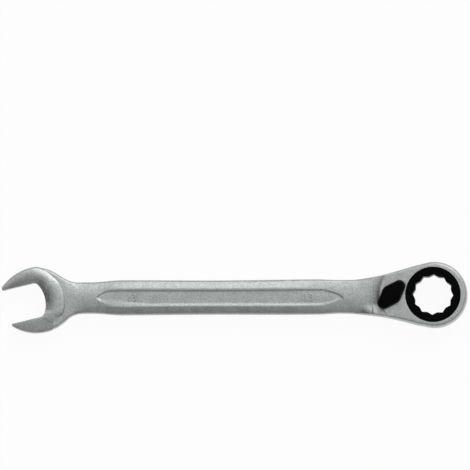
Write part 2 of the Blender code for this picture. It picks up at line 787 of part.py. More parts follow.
def build_rings(gear_axis, lever_axis, steel, rubber):
    """Snap ring, friction ring, lever clip and lever seal."""
    snap = add_object("gear_retaining_ring",
                      prism(open_ring(snap_inner, snap_outer, snap_gap_angle,
                                      snap_gap_facing, 48),
                            snap_back, snap_front), steel)
    snap.parent = gear_axis
    friction_radius = front_collar_radius + small_gap + friction_section
    friction = add_object("gear_friction_ring",
                          turned(ring_section(friction_radius, (gear_front + lip_floor) / 2,
                                              friction_section), 48, ring=True), rubber)
    friction.parent = gear_axis
    clip = add_object("lever_retaining_clip",
                      prism(open_ring(clip_inner, clip_outer, clip_gap_angle, 180, 20),
                            clip_back, clip_front), steel)
    clip.parent = lever_axis
    seal_radius = post_radius + small_gap + seal_section
    seal = add_object("lever_o_ring",
                      turned(ring_section(seal_radius, mid - seal_seat_depth / 2, seal_section),
                             32, ring=True), rubber)
    seal.parent = lever_axis


def axis_empty(name, x, turn=0.0):
    empty = bpy.data.objects.new(name, None)
    empty.location = (x, 0, mid)
    empty.rotation_euler.z = turn
    bpy.context.scene.collection.objects.link(empty)
    return empty


def build_wrench():
    clear_scene()
    satin = material("satin_chrome", (0.62, 0.64, 0.62), 0.38, 1.0)
    black = material("black_steel", (0.012, 0.012, 0.013), 0.35, 0.6)
    lever_black = material("lever_black", (0.01, 0.01, 0.011), 0.28, 0.4)
    pawl_steel = material("pawl_steel", (0.25, 0.25, 0.26), 0.35, 1.0)
    bright = material("pin_steel", (0.6, 0.6, 0.6), 0.25, 1.0)
    spring_steel = material("spring_steel", (0.4, 0.4, 0.42), 0.3, 1.0)
    rubber = material("black_rubber", (0.02, 0.02, 0.02), 0.7, 0.0)
    build_body(satin)
    gear_axis = axis_empty("gear_axis", ring_x)
    lever_axis = axis_empty("lever_axis", pivot_x, detent_direction)
    pawl_axis = axis_empty("pawl_axis", pivot_x)
    build_gear(gear_axis, black)
    build_pawl(pawl_axis, pawl_steel)
    build_lever(lever_axis, lever_black)
    build_detent(lever_axis, bright, spring_steel)
    build_rings(gear_axis, lever_axis, spring_steel, rubber)


build_wrench()
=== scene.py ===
"""Looks of the reversible ratcheting combination wrench.

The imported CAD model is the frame. The forging and the lever get fine skins here that follow its
sizes closely. The other CAD nodes stay as they are and get their finish.

The wrench lies along X, with the open jaw at -X and the ratchet head at +X. +Y is called upper
and -Y lower, as in the main view. Places along the forging are X from the ratchet ring's centre.
"""

from math import acos, asin, atan2, cos, degrees, hypot, pi, radians, sin, sqrt, tan

import bmesh
import bpy
from mathutils import Matrix, Vector


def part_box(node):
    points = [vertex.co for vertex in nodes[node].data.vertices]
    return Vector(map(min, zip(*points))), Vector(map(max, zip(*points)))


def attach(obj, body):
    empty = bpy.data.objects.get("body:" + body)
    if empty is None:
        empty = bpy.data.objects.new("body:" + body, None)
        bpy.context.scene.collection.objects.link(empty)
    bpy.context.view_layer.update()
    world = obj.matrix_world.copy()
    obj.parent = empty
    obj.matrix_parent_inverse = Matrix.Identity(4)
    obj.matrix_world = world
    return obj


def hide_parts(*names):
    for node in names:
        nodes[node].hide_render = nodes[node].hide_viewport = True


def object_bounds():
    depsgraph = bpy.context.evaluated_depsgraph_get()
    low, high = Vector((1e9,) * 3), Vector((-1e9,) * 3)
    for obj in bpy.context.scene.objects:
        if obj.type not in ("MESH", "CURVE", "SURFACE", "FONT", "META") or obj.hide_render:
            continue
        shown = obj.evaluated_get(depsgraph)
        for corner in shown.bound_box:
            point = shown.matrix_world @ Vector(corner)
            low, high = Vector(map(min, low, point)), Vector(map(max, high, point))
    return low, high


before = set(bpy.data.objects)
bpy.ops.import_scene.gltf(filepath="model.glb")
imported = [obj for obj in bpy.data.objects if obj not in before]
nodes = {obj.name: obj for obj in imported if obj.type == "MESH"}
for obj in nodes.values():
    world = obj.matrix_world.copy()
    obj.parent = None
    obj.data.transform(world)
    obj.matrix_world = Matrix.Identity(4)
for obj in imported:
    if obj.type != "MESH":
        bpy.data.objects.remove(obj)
cad_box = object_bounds()

mm = 0.001

# ---- places taken from the frame ----
body_low, body_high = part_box("wrench_body")
gear_low, gear_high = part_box("ratchet_gear")
seal_low, seal_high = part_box("lever_o_ring")
ring_x = (gear_low.x + gear_high.x) / 2
pivot_x = (seal_low.x + seal_high.x) / 2
mid = (body_low.z + body_high.z) / 2

# ---- the forging's plan, which follows the CAD model within a few tenths of a millimetre ----
# Where a size has two values, 1 is the upper side's and -1 the lower's.
jaw_opening = 13.1 * mm        # between the two flats
jaw_tilt = 13.1                # degrees that the jaw's axis is turned from the shank
jaw_drop = 1.31 * mm           # the jaw's centre lies this far below the shank's axis
jaw_thickness = 6.2 * mm
jaw_back_radius = 13.5 * mm    # the jaw's round towards the neck
lobe_radius = {1: 18.3 * mm, -1: 16.5 * mm}    # outer side of each lobe
lobe_widest = 3.3 * mm         # where a lobe is widest, along the jaw's axis and from it
lobe_reach = 12.45 * mm
jaw_tip = {1: 9.0 * mm, -1: 8.4 * mm}          # from the jaw's centre to the end of each lobe
throat_depth = 5.87 * mm       # from the jaw's centre to the bottom of the mouth
throat_radius = 11.3 * mm
throat_corner = 2.2 * mm

centre_distance = 151.64 * mm  # ring centre to jaw centre, along the shank
shank_thickness = 5.4 * mm
waist_distance = 12.0 * mm     # from the ramp's foot to the waist
waist_half_width = 6.27 * mm
waist_run = 9.0 * mm
shank_half_width = 6.53 * mm
shank_swell = 0.1 * mm         # the shank is a little wider near both ends
near_swell = 13.0 * mm         # from the waist to the widest place at that end
far_swell = 10.0 * mm          # from the neck to the widest place at the other end
neck_half_width = 5.9 * mm
neck_length = 9.5 * mm         # from the jaw's round to the narrowest place
neck_taper = 12.0 * mm
web_radius = 12.5 * mm         # round of the web that joins the neck to the jaw
web_inset = 2.2 * mm           # its centre, along the jaw's axis
web_slope = 55.0               # degrees at which the round runs down to the neck
web_fillet = {1: 7.0 * mm, -1: 9.5 * mm}       # between the neck and the web
web_lead = 5.0 * mm            # the stations finish turning this far inside the jaw's round
waist_fillet = {1: 1.9 * mm, -1: 3.9 * mm}     # between the shank and the head's taper
shank_drop = 0.36 * mm         # the shank leaves the line through the ring and the jaw by this
drop_run = 75.0 * mm           # over this length from the neck
taper_swell = {1: 0.15 * mm, -1: 0.3 * mm}     # how much the head's taper swells
taper_run = 3.6 * mm           # over this length

panel_half_width = 3.55 * mm   # at the top of its walls
panel_margin = 0.1 * mm        # flat strip beside the panel
panel_depth = 0.25 * mm
panel_start = 11.5 * mm        # from the ramp's foot to the near tip
panel_end = 25.24 * mm         # from the jaw's centre to the far tip
panel_near_point = 13.2 * mm   # length of its pointed ends
panel_far_point = 9.0 * mm
panel_arch = 1.25              # 1 is an oval end, more is more pointed
panel_drop = 0.58 * mm         # how far the panel's near end is below the forging's middle line

head_radius = 12.38 * mm
head_offset = 0.5 * mm         # the head's round is centred this far beyond the ring
head_taper = 15.7              # degrees, each side from the round to the shank
ramp_length = 5.5 * mm
face_arc = 11.8 * mm           # plan radius of the raised face's end
face_arc_run = 8.0 * mm        # length of the head over which that arc fades out
face_past_post = 1.2 * mm      # from the lever's axis to the ramp's top, at the sides

# ---- the forging's cross-sections ----
# Slopes are rise over run, across the forging.
flat_half = panel_half_width + panel_margin
panel_slope = 0.28             # beside the panel, where the shank's slope starts
shank_slope = 0.44             # at the shank's edge
oval_slope = 0.17              # the same two where the shank is oval, at the neck and the waist
neck_slope = 0.33
web_calm = 0.25                # share of those slopes that is left on the web, by the jaw
calm_lead = 0.25               # they calm from this share of the way from the neck to the jaw
upper_calm = 0.35              # share of the upper slopes that is gone at the panel's near tip
upper_calm_run = 26.0 * mm     # and the length over which it goes
cove_power = 3.2               # 2 is a round ramp, more rises later
edge_round = 0.8 * mm
edge_upright = 0.5 * mm        # half height of the shank's upright edge
oval_run = 8.0 * mm            # length over which the oval fades into the panel's flats
near_oval_run = 22.0 * mm
flat_limit = 0.6               # the flats take up at most this share of the way to the rim
web_sink = 0.8 * mm            # the web's end is this far lower, inside the jaw
sink_lead = 3.5 * mm           # and it starts to sink this far inside the jaw's round
sink_spread = 1.6              # the mouth's width over the sunk strip's half width
panel_wall = {1: 0.9 * mm, -1: 1.2 * mm}       # width of the panel's sloping walls
panel_share = {1: 0.865, -1: 0.955}            # how much of the flat the panel takes up
wall_limit = 0.85              # a wall takes up at most this share of the panel's half width
panel_far_wall = 1.8           # the lower wall is wider by this share of itself at the far tip
panel_far_run = 22.0 * mm      # and is down to its own width this far from there
row_spread = 0.4               # how the rows spread over the flat beside and beyond the panel
upper_slope_lead = 4.5 * mm    # the upper slope fades out from this far ahead of the ramp
upper_slope_run = 2.0 * mm     # to this far on the face
lower_slope_lag = 0.5 * mm     # the lower one from this far up the ramp to the face

# The ramp's lower corner is filled up to a shoulder beside the lever. The fill rises along
# shoulder_lead, with a short wall at its end, and comes in across shoulder_side, which counts from
# the section's axis. From there the shoulder levels out along shoulder_rise.
shoulder_lead = (-28.5 * mm, -22.6 * mm)
shoulder_wall = (-22.95 * mm, -22.6 * mm)
shoulder_wall_share = 0.2      # how much of the fill's height is in that wall
shoulder_side = (3.0 * mm, 6.8 * mm)
shoulder_rise = (-22.8 * mm, -19.0 * mm)
shoulder_fall = 0.15 * mm      # how much lower the shoulder is where it begins
shoulder_step = 0.85 * mm      # from the shoulder's level part up to the face
step_run = 0.15 * mm           # length of that step

head_rim = 1.05 * mm           # rounding round the head's edge
head_upright = 0.8 * mm        # half height of the head's upright edge

# ---- the jaw's cross-sections ----
loft_bite = 0.8 * mm           # the shank's skin starts this far inside the throat's wall
mouth_edge = 0.25 * mm         # bevel round the mouth
mouth_edge_limit = 0.2         # the most of the section's width that it takes up
jaw_rim_limit = 0.35           # the same for the outer edge's rounding
jaw_rim_height = 1.3           # height of that rounding over its width
jaw_upright = 0.3 * mm         # half height of the upright edge below it
# Along the jaw, from its upper tip to its lower one: place, slope at the mouth, slope at the
# outer edge, where the face is highest as a share of the way across, and the edge's rounding in mm.
jaw_crown = ((0.0, 0.50, 0.06, 0.88, 1.0), (0.17, 0.58, 0.12, 0.84, 1.0),
             (0.29, 0.54, 0.38, 0.66, 0.9), (0.37, 0.50, 0.46, 0.60, 0.9),
             (0.45, 0.46, 0.22, 0.60, 0.85), (0.53, 0.42, 0.10, 0.62, 0.8),
             (0.61, 0.34, 0.10, 0.58, 0.7), (0.67, 0.10, 0.26, 0.24, 0.6),
             (0.72, 0.04, 0.28, 0.05, 0.6), (0.84, 0.02, 0.26, 0.02, 1.0),
             (1.0, 0.02, 0.24, 0.02, 1.0))
lower_lobe_bend = 0.6          # how much sooner the lower lobe's face starts to fall
lower_lobe_start = (0.58, 0.68)                # places along the jaw between which that sets in

# ---- the ratchet's cavities, as in the CAD model ----
# radius and height from the middle plane, in mm
bore_steps = ((10.4, 5.7), (10.4, 3.25), (11.0, 3.25), (11.0, -2.95), (11.35, -2.95),
              (11.35, -3.75), (11.0, -3.75), (11.0, -5.7))
lever_hole_steps = ((2.9, 5.7), (2.9, 3.8), (2.15, 3.8), (2.15, 2.3), (3.3, 2.3), (3.3, -2.3),
                    (1.6, -2.3), (1.6, -3.8))
# from the lever's axis, in mm
pocket_half_outline = ((0.219, 5.059), (3.248, 7.157), (8.397, 7.157))
pocket_half_height = 2.3 * mm
bore_reach = 11.5 * mm         # upright faces this close to the ring's axis are the bore's
upright_normal = 0.5           # Z of the normal up to which a face counts as upright

# ---- the lever ----
# Its plate is a little larger all round than the CAD model's, and a little off its axis.
lever_turn = 46.5              # degrees from the head's axis
lever_half_length = 6.65 * mm
lever_half_width = 3.82 * mm
lever_tip_round = 2.25 * mm
lever_side_round = 3.2 * mm
lever_shift = 0.22 * mm
lever_under_edge = 0.25 * mm   # chamfer below the plate
lever_foot = 0.3 * mm          # from the face up to the plate
# inwards from the outline and down from the top, in mm
lever_edge_rows = ((0.0, 0.45), (0.04, 0.30), (0.14, 0.14), (0.30, 0.04), (0.48, 0.0))
lever_edge_normal = (0.1, 0.99)                # Z of the normals on that edge
# radius and height from the middle plane, in mm, as in the CAD model
post_steps = ((1.45, -3.5), (1.45, -2.0), (2.0, -2.0), (2.0, 1.35), (1.55, 1.35), (1.55, 2.15),
              (2.0, 2.15), (2.0, 5.9))
detent_bore = (0.8 * mm, -0.35 * mm)           # radius, and height from the middle plane
detent_reach = (-1.25 * mm, 4.0 * mm)          # its two ends, from the post's axis

# ---- the size numbers ----
number_height = 2.9 * mm
figure_share = 0.72            # height of a figure over the font's size
number_relief = 0.32 * mm
number_bevel = 0.12 * mm
number_places = (-46.8 * mm, -113.3 * mm)

# ---- how finely the skins are divided ----
round_steps = 7                # round the forging's edge
slope_steps = 9                # over the slope beside the panel
wall_steps = 7                 # down the panel's wall
floor_steps = 5                # over its floor, to the axis
stations = {"web": 14, "neck": 24, "taper": 10, "tip": 16, "shank": 40, "waist": 24,
            "ramp": 90, "step": 6, "head": 12, "round": 56}
jaw_steps = {"along": 150, "face": 18, "mouth": 4, "rim": 9, "corner": 16, "throat": 40,
             "lobe": 40, "back": 60}
segments = {"bore": 160, "lever_hole": 64, "post": 48, "detent": 28, "lever_tip": 20,
            "lever_side": 12}
forging_smooth = 32.0          # degrees up to which neighbouring faces are shaded as one
number_smooth = 40.0
probe = 0.1 * mm               # how far ahead and behind an edge's direction is measured
edge_probe = 0.05              # how far from the rim its slope is measured, as a share
weld_distance = 1e-4 * mm
tiny = 1e-9

# ---- places worked out from the sizes ----
jaw_half = jaw_thickness / 2
shank_half = shank_thickness / 2
head_half = (body_high.z - body_low.z) / 2
tilt = radians(jaw_tilt)
face_length = ring_x - pivot_x + face_past_post
neck_x = -(centre_distance - jaw_back_radius - neck_length)
jaw_face_x = -(centre_distance - jaw_back_radius)
ramp_foot = -(face_length + ramp_length)
slope_fade = {1: (ramp_foot - upper_slope_lead, -face_length + upper_slope_run),
              -1: (ramp_foot + lower_slope_lag, -face_length)}
waist_x = ramp_foot - waist_distance
tangent_angle = 90 + head_taper
taper_start = head_offset + head_radius * cos(radians(tangent_angle))
near_tip = ramp_foot - panel_start
far_tip = panel_end - centre_distance
skin_start = -(centre_distance - throat_depth - loft_bite)


# ---- helpers ----
def smoothed(mesh, angle=forging_smooth):
    mesh.shade_smooth()
    mesh.set_sharp_from_angle(angle=radians(angle))


def link_object(name, data):
    made = bpy.data.objects.new(name, data)
    bpy.context.scene.collection.objects.link(made)
    return made


def add_object(name, bm):
    bmesh.ops.recalc_face_normals(bm, faces=bm.faces)
    mesh = bpy.data.meshes.new(name)
    bm.to_mesh(mesh)
    bm.free()
    smoothed(mesh)
    return link_object(name, mesh)


def evaluated_mesh(made):
    """A mesh of what the object shows, with its modifiers or its text's thickness."""
    graph = bpy.context.evaluated_depsgraph_get()
    return bpy.data.meshes.new_from_object(made.evaluated_get(graph))


def skin(loops):
    """Skins equal loops of points in order and caps both ends."""
    bm = bmesh.new()
    rows = [[bm.verts.new(point) for point in loop] for loop in loops]
    bm.faces.new(rows[0])
    bm.faces.new(rows[-1])
    for low, high in zip(rows, rows[1:]):
        for i in range(len(low)):
            j = (i + 1) % len(low)
            bm.faces.new((low[i], low[j], high[j], high[i]))
    return bm


def turned(profile, sides, axis_x=0.0):
    """A solid turned about an upright axis; the profile has radii and heights."""
    turns = [2 * pi * (i + 0.5) / sides for i in range(sides)]
    return skin([[(axis_x + r * cos(a), r * sin(a), z) for a in turns] for r, z in profile])


def turned_mm(profile, sides, axis_x=0.0):
    """The same from millimetres, with the heights from the middle plane."""
    return turned([(r * mm, mid + z * mm) for r, z in profile], sides, axis_x)


def arc(centre, radius, start, stop, steps):
    """Points along an arc, between two angles in degrees."""
    span = radians(stop - start)
    return [(centre[0] + radius * cos(radians(start) + span * i / steps),
             centre[1] + radius * sin(radians(start) + span * i / steps))
            for i in range(steps + 1)]


def spaced(start, stop, steps):
    """Equally spaced values from start, without stop."""
    return [start + (stop - start) * i / steps for i in range(steps)]


def boolean(host, tool, operation):
    """Gives the host a modifier that joins the tool to it or takes the tool away."""
    step = host.modifiers.new(tool.name, 'BOOLEAN')
    step.operation = operation
    step.solver = 'EXACT'
    step.object = tool


def settle(host, tools):
    """Applies the host's modifiers and removes the tools."""
    mesh = evaluated_mesh(host)
    host.modifiers.clear()
    host.data = mesh
    smoothed(mesh)
    for tool in tools:
        bpy.data.objects.remove(tool)


def smooth_max(a, b, blend):
    """The greater of the two, rounded off where they are nearer than blend."""
    return max(a, b) + max(blend - abs(a - b), 0.0) ** 2 / (4 * blend)


def ease(value, low, high):
    """0 up to low, 1 from high, with a smooth rise between."""
    share = min(1.0, max(0.0, (value - low) / (high - low)))
    return share * share * (3 - 2 * share)


def resampled(path, steps):
    """steps + 1 points at equal distances along a path."""
    lengths = [0.0]
    for a, b in zip(path, path[1:]):
        lengths.append(lengths[-1] + hypot(b[0] - a[0], b[1] - a[1]))
    points, k = [], 0
    for i in range(steps + 1):
        target = lengths[-1] * i / steps
        while k < len(path) - 2 and lengths[k + 1] < target:
            k += 1
        share = (target - lengths[k]) / (lengths[k + 1] - lengths[k])
        points.append(tuple(a + (b - a) * share for a, b in zip(path[k], path[k + 1])))
    return points


# ---- the forging's shank and head ----
def jaw_point(u, v):
    """The place that is u along the jaw's axis and v across it."""
    return (-centre_distance + u * cos(tilt) - v * sin(tilt),
            -jaw_drop + u * sin(tilt) + v * cos(tilt))


def lobe_edge(u, side):
    """How far a lobe's outer side is from the jaw's axis."""
    radius = lobe_radius[side]
    return lobe_reach - radius + sqrt(radius ** 2 - (u - lobe_widest) ** 2)


def station_turn(x):
    """How far a station is turned towards square with the jaw."""
    return tilt * ease(-x, -neck_x, -jaw_face_x + web_lead)


def web_edge(x, side):
    """Half width of the web that joins the neck to the jaw, across the turned station."""
    turn = station_turn(x)
    centre = jaw_point(web_inset, 0)
    away = (centre[0] - x, centre[1])
    across = side * (-sin(turn) * away[0] + cos(turn) * away[1])
    behind = -(cos(turn) * away[0] + sin(turn) * away[1])
    slope = radians(web_slope)
    leave = web_radius * sin(slope)
    if behind < leave:
        return across + sqrt(web_radius ** 2 - behind ** 2)
    return across + web_radius * cos(slope) - (behind - leave) * tan(slope)


def half_width(x, side):
    """The forging's half width at x, from the neck to the head's round."""
    taper = head_radius * sin(radians(tangent_angle))
    taper -= (taper_start - x) * tan(radians(head_taper))
    taper += taper_swell[side] * ease(taper_start - x, 0, taper_run)
    crest, next_crest = waist_x - near_swell, neck_x + far_swell
    swell = shank_swell * cos(2 * pi * (x - crest) / (next_crest - crest))
    past_waist = ease(-x, -waist_x, -waist_x + waist_run)
    body = waist_half_width
    body += (shank_half_width + swell - waist_half_width) * past_waist
    body += (neck_half_width - body) * ease(-x, -neck_x - neck_taper, -neck_x)
    body -= side * shank_drop * ease(x, neck_x, neck_x + drop_run)
    body = smooth_max(body, taper, waist_fillet[side])
    return smooth_max(body, web_edge(x, side), web_fillet[side])


def edge_point(x, side):
    """Where the station at x meets the forging's edge."""
    turn = station_turn(x)
    reach = side * half_width(x, side)
    return (x - reach * sin(turn), reach * cos(turn))


def section_axis(x):
    """Where the shank's cross-section has its middle; the panel follows it."""
    share = min(1.0, max(0.0, (x - neck_x) / (near_tip - neck_x)))
    return -panel_drop * share * (1 - ease(x, near_tip, ramp_foot))


def bent(first, corner, last, share):
    """A point on the curve from first to last that leaves and arrives along the corner's sides."""
    rest = 1 - share
    return [a * rest * rest + 2 * b * rest * share + c * share * share
            for a, b, c in zip(first, corner, last)]


def panel_half(x):
    """Half width of the sunk panel at x; beyond its tips, the distance from them below zero."""
    near = (near_tip - x) / panel_near_point
    far = (x - far_tip) / panel_far_point
    share = min(near, far, 1.0)
    if share <= 0:
        return share * panel_near_point
    return panel_half_width * sqrt(1 - (1 - share) ** 2) ** panel_arch


def no_shoulder(y, plain):
    return plain


class Profile:
    """Upper half of a cross-section on one side of the axis, from the axis to the edge.

    It is flat over the panel and then falls ever more steeply to the rim. oval blends the slopes
    of the neck and the waist in, slope scales them all and sink lowers the middle. shoulder gives
    the height at y from the height there would otherwise be.
    """

    def __init__(self, width, top, oval, rim, upright, slope, sink=0.0, shoulder=no_shoulder):
        self.width, self.top, self.rim, self.upright = width, top, rim, upright
        self.sink, self.shoulder = sink, shoulder
        self.flat = min(flat_half, flat_limit * (width - rim))
        calm = slope * min(1.0, waist_half_width / max(width, tiny))
        self.start = calm * (panel_slope + (oval_slope - panel_slope) * oval)
        self.inside = calm * oval_slope * oval
        self.stop = calm * (shank_slope + (neck_slope - shank_slope) * oval)

    def height(self, y):
        return self.shoulder(y, self.plain_height(y))

    def plain_height(self, y):
        top = self.top - self.sink * max(0.0, 1 - (y / jaw_opening * sink_spread) ** 2)
        if y <= self.flat or self.flat <= 0:
            return top - 0.5 * self.inside * y * y / max(self.flat, tiny)
        run = self.width - self.rim - self.flat
        past = y - self.flat
        drop = 0.5 * self.inside * self.flat + self.start * past
        return top - drop - 0.5 * (self.stop - self.start) * past * past / run

    def rounded_edge(self):
        """Distances inwards from the edge, and heights, from the edge up to the slope."""
        end = self.width - self.rim
        inner = (self.rim, self.height(end))
        fall = 0.0
        if self.stop:
            fall = (self.height((1 - edge_probe) * end) - inner[1]) / (edge_probe * end)
            fall = min(max(fall, 0.0), self.stop)
        corner = (0.0, inner[1] - fall * self.rim)
        low = (0.0, min(self.upright, corner[1]))
        return [bent(low, corner, inner, k / round_steps) for k in range(round_steps + 1)]

    def face_rows(self, x, side):
        """Distances from the axis, and depths, from the slope's outer end to the axis."""
        inner = self.width - self.rim
        rows = [(inner + (self.flat - inner) * k / slope_steps, 0.0)
                for k in range(1, slope_steps + 1)]
        reach = panel_half(x)
        edge = min(reach if reach > 0 else -row_spread * reach, panel_share[side] * self.flat)
        wider = 1 - ease(x, far_tip, far_tip + panel_far_run) if side < 0 else 0.0
        wall = min(panel_wall[side] * (1 + panel_far_wall * wider), wall_limit * edge)
        sunk = panel_depth * min(1.0, edge / panel_wall[1]) if reach > 0 else 0.0
        rows.append((edge + row_spread * (self.flat - edge), 0.0))
        rows += [(edge - wall * k / wall_steps, sunk * ease(k, 0, wall_steps))
                 for k in range(wall_steps + 1)]
        rows += [((edge - wall) * (1 - k / floor_steps), sunk) for k in range(1, floor_steps)]
        return rows


def station(x, edges, normals, profiles, bow, axis=0.0):
    """A closed loop round the forging; edges, normals and profiles come in +Y, -Y order."""
    rims = [[(edge[0] - normal[0] * inward, edge[1] - normal[1] * inward, z)
             for inward, z in profile.rounded_edge()]
            for edge, normal, profile in zip(edges, normals, profiles)]
    upper, lower = (rim[-1] for rim in rims)
    rows = profiles[0].face_rows(x, 1)
    face = [(y, 0, depth) for y, depth in rows + [(0.0, rows[-1][1])]]
    face += [(y, 1, depth) for y, depth in reversed(profiles[1].face_rows(x, -1))]
    across = upper[1] - lower[1]
    middle = []
    for y, k, depth in face:
        profile = profiles[k]
        full = profile.width - profile.rim
        place = axis + (rims[k][-1][1] - axis) * y / full if full else axis
        share = (upper[1] - place) / across if across else 0.0
        px = upper[0] + (lower[0] - upper[0]) * share
        middle.append((px, place, profile.height(y) - depth))
    top = rims[0] + middle + rims[1][::-1]
    top = [(px - bow(py), py, pz) for px, py, pz in top]
    bottom = [(px, py, -pz) for px, py, pz in reversed(top)]
    return [(px + ring_x, py, mid + pz) for px, py, pz in top + bottom]


def face_bow(x):
    """How far a station bows back at a distance from the axis, towards the face's arc."""
    share = ease(x, waist_x, ramp_foot)
    share *= 1 - ease(x, -face_length, -face_length + face_arc_run)
    side_y = half_width(-face_length, 1)

    def bow(y):
        inside = min(abs(y), side_y)
        return share * (sqrt(face_arc ** 2 - inside ** 2) - sqrt(face_arc ** 2 - side_y ** 2))

    return bow


def lower_shoulder(x, bow):
    """The filled lower corner of the ramp, as a Profile's shoulder."""
    def height(y, plain):
        place = x - bow(y)
        share = shoulder_wall_share * ease(place, *shoulder_wall)
        share += (1 - shoulder_wall_share) * ease(place, *shoulder_lead)
        share *= ease(y, *shoulder_side)
        share *= 1 - ease(x, -face_length, -face_length + step_run)
        level = head_half - shoulder_step - shoulder_fall * (1 - ease(place, *shoulder_rise))
        return plain + (level - plain) * share

    return height


def shank_station(x):
    """The loop round the forging at x, from inside the jaw to the head's taper."""
    climb = min(1.0, max(0.0, (x - ramp_foot) / ramp_length))
    cove = 1 - (1 - climb ** cove_power) ** (1 / cove_power)
    half = shank_half + (head_half - shank_half) * cove
    upright = edge_upright + (head_upright - edge_upright) * cove
    rim = edge_round + (head_rim - edge_round) * ease(x, -face_length, taper_start)
    slope = 1 - (1 - web_calm) * ease(-x, -neck_x + calm_lead * neck_length, -jaw_face_x)
    oval = max(ease(-x, -far_tip - oval_run, -far_tip), ease(x, near_tip - near_oval_run, near_tip))
    sink = web_sink * ease(-x, -jaw_face_x + sink_lead, -skin_start)
    bow = face_bow(x)
    axis = section_axis(x)
    edges, normals, profiles = [], [], []
    for side in (1, -1):
        ahead, behind = edge_point(x + probe, side), edge_point(x - probe, side)
        run = (ahead[0] - behind[0], ahead[1] - behind[1])
        edges.append(edge_point(x, side))
        normals.append((-side * run[1] / hypot(*run), side * run[0] / hypot(*run)))
        width = half_width(x, side) - side * axis
        lean = slope * (1 - ease(x, *slope_fade[side]))
        if side > 0:
            lean *= 1 - upper_calm * ease(x, near_tip - upper_calm_run, near_tip)
        shoulder = no_shoulder if side > 0 else lower_shoulder(x, bow)
        profiles.append(Profile(width, half, oval, rim, upright, lean, sink, shoulder))
    return station(x, edges, normals, profiles, bow, axis)


def head_station(angle):
    """A station across the head's round, at an angle from the wrench's end."""
    edges, normals, profiles = [], [], []
    for side in (1, -1):
        normal = (cos(radians(angle)), side * sin(radians(angle)))
        edges.append((head_offset + head_radius * normal[0], head_radius * normal[1]))
        normals.append(normal)
        width = max(head_radius * abs(normal[1]), head_rim)
        profiles.append(Profile(width, head_half, 0.0, head_rim, head_upright, 0.0))
    return station(edges[0][0], edges, normals, profiles, lambda y: 0.0)


def shank_and_head():
    """One skin from inside the jaw, along the shank and round the ratchet head."""
    tip_turns = spaced(0, pi / 2, stations["tip"])
    face_x = -face_length
    places = spaced(skin_start, jaw_face_x, stations["web"])
    places += spaced(jaw_face_x, neck_x, stations["neck"])
    places += spaced(neck_x, far_tip, stations["taper"])
    places += [far_tip + panel_far_point * (1 - cos(turn)) for turn in tip_turns]
    places += spaced(far_tip + panel_far_point, near_tip - panel_near_point, stations["shank"])
    places += [near_tip - panel_near_point * (1 - sin(turn)) for turn in tip_turns]
    places += spaced(near_tip, ramp_foot, stations["waist"])
    places += [ramp_foot + ramp_length * sin(turn) for turn in spaced(0, pi / 2, stations["ramp"])]
    places += [face_x]
    places += spaced(face_x + step_run, face_x + upper_slope_run, stations["step"])
    places += spaced(face_x + upper_slope_run, taper_start, stations["head"])
    loops = [shank_station(x) for x in places]
    loops += [head_station(angle) for angle in spaced(tangent_angle, 0, stations["round"]) + [0]]
    bm = skin(loops[:-1])
    close_end(bm, loops[-1])
    return bm


def close_end(bm, last):
    """Draws the skin's open end together at the tip of the head's round."""
    bm.verts.ensure_lookup_table()
    row = bm.verts[-len(last):]
    cap = [face for face in row[0].link_faces if len(face.verts) == len(last)]
    bmesh.ops.delete(bm, geom=cap, context='FACES_ONLY')
    ends = [bm.verts.new(point) for point in last]
    for i in range(len(row)):
        j = (i + 1) % len(row)
        bm.faces.new((row[i], row[j], ends[j], ends[i]))
    bmesh.ops.remove_doubles(bm, verts=ends, dist=weld_distance)
    bmesh.ops.dissolve_degenerate(bm, edges=bm.edges, dist=0.1 * weld_distance)


# ---- the jaw ----
def lobe_end(side):
    """Where along the jaw's axis a lobe's outer side meets the jaw's round."""
    off_axis = lobe_reach - lobe_radius[side]
    between = hypot(lobe_widest, off_axis)
    along = (jaw_back_radius ** 2 - lobe_radius[side] ** 2 + between ** 2) / (2 * between)
    across = sqrt(jaw_back_radius ** 2 - along ** 2)
    return (along * lobe_widest - across * off_axis) / between


def jaw_inner():
    """The mouth's edge from the upper tip round the throat to the lower tip."""
    flat = jaw_opening / 2
    throat_u = throat_depth - throat_radius
    corner_v = flat - throat_corner
    corner_u = throat_u + sqrt((throat_radius - throat_corner) ** 2 - corner_v ** 2)
    turn = degrees(asin(corner_v / (throat_radius - throat_corner)))
    steps = jaw_steps["corner"]
    path = [(-jaw_tip[1], flat)] + arc((corner_u, corner_v), throat_corner, 90, turn, steps)
    path += arc((throat_u, 0), throat_radius, turn, -turn, jaw_steps["throat"])[1:-1]
    path += arc((corner_u, -corner_v), throat_corner, -turn, -90, steps)
    return path + [(-jaw_tip[-1], -flat)]


def jaw_outer():
    """The outer edge from the upper tip over both lobes to the lower tip."""
    upper_end, lower_end = lobe_end(1), lobe_end(-1)
    upper = spaced(-jaw_tip[1], upper_end, jaw_steps["lobe"])
    lower = spaced(lower_end, -jaw_tip[-1], jaw_steps["lobe"]) + [-jaw_tip[-1]]
    start = degrees(atan2(lobe_edge(upper_end, 1), upper_end))
    stop = -degrees(atan2(lobe_edge(lower_end, -1), lower_end))
    path = [(u, lobe_edge(u, 1)) for u in upper]
    path += arc((0, 0), jaw_back_radius, start, stop, jaw_steps["back"])
    return path + [(u, -lobe_edge(u, -1)) for u in lower][1:]


def crown_at(share):
    """Slopes at the mouth and the outer edge, highest place and rounding, along the jaw."""
    for low, high in zip(jaw_crown, jaw_crown[1:]):
        if share <= high[0]:
            step = ease(share, low[0], high[0])
            return [a + (b - a) * step for a, b in zip(low[1:], high[1:])]
    return jaw_crown[-1][1:]


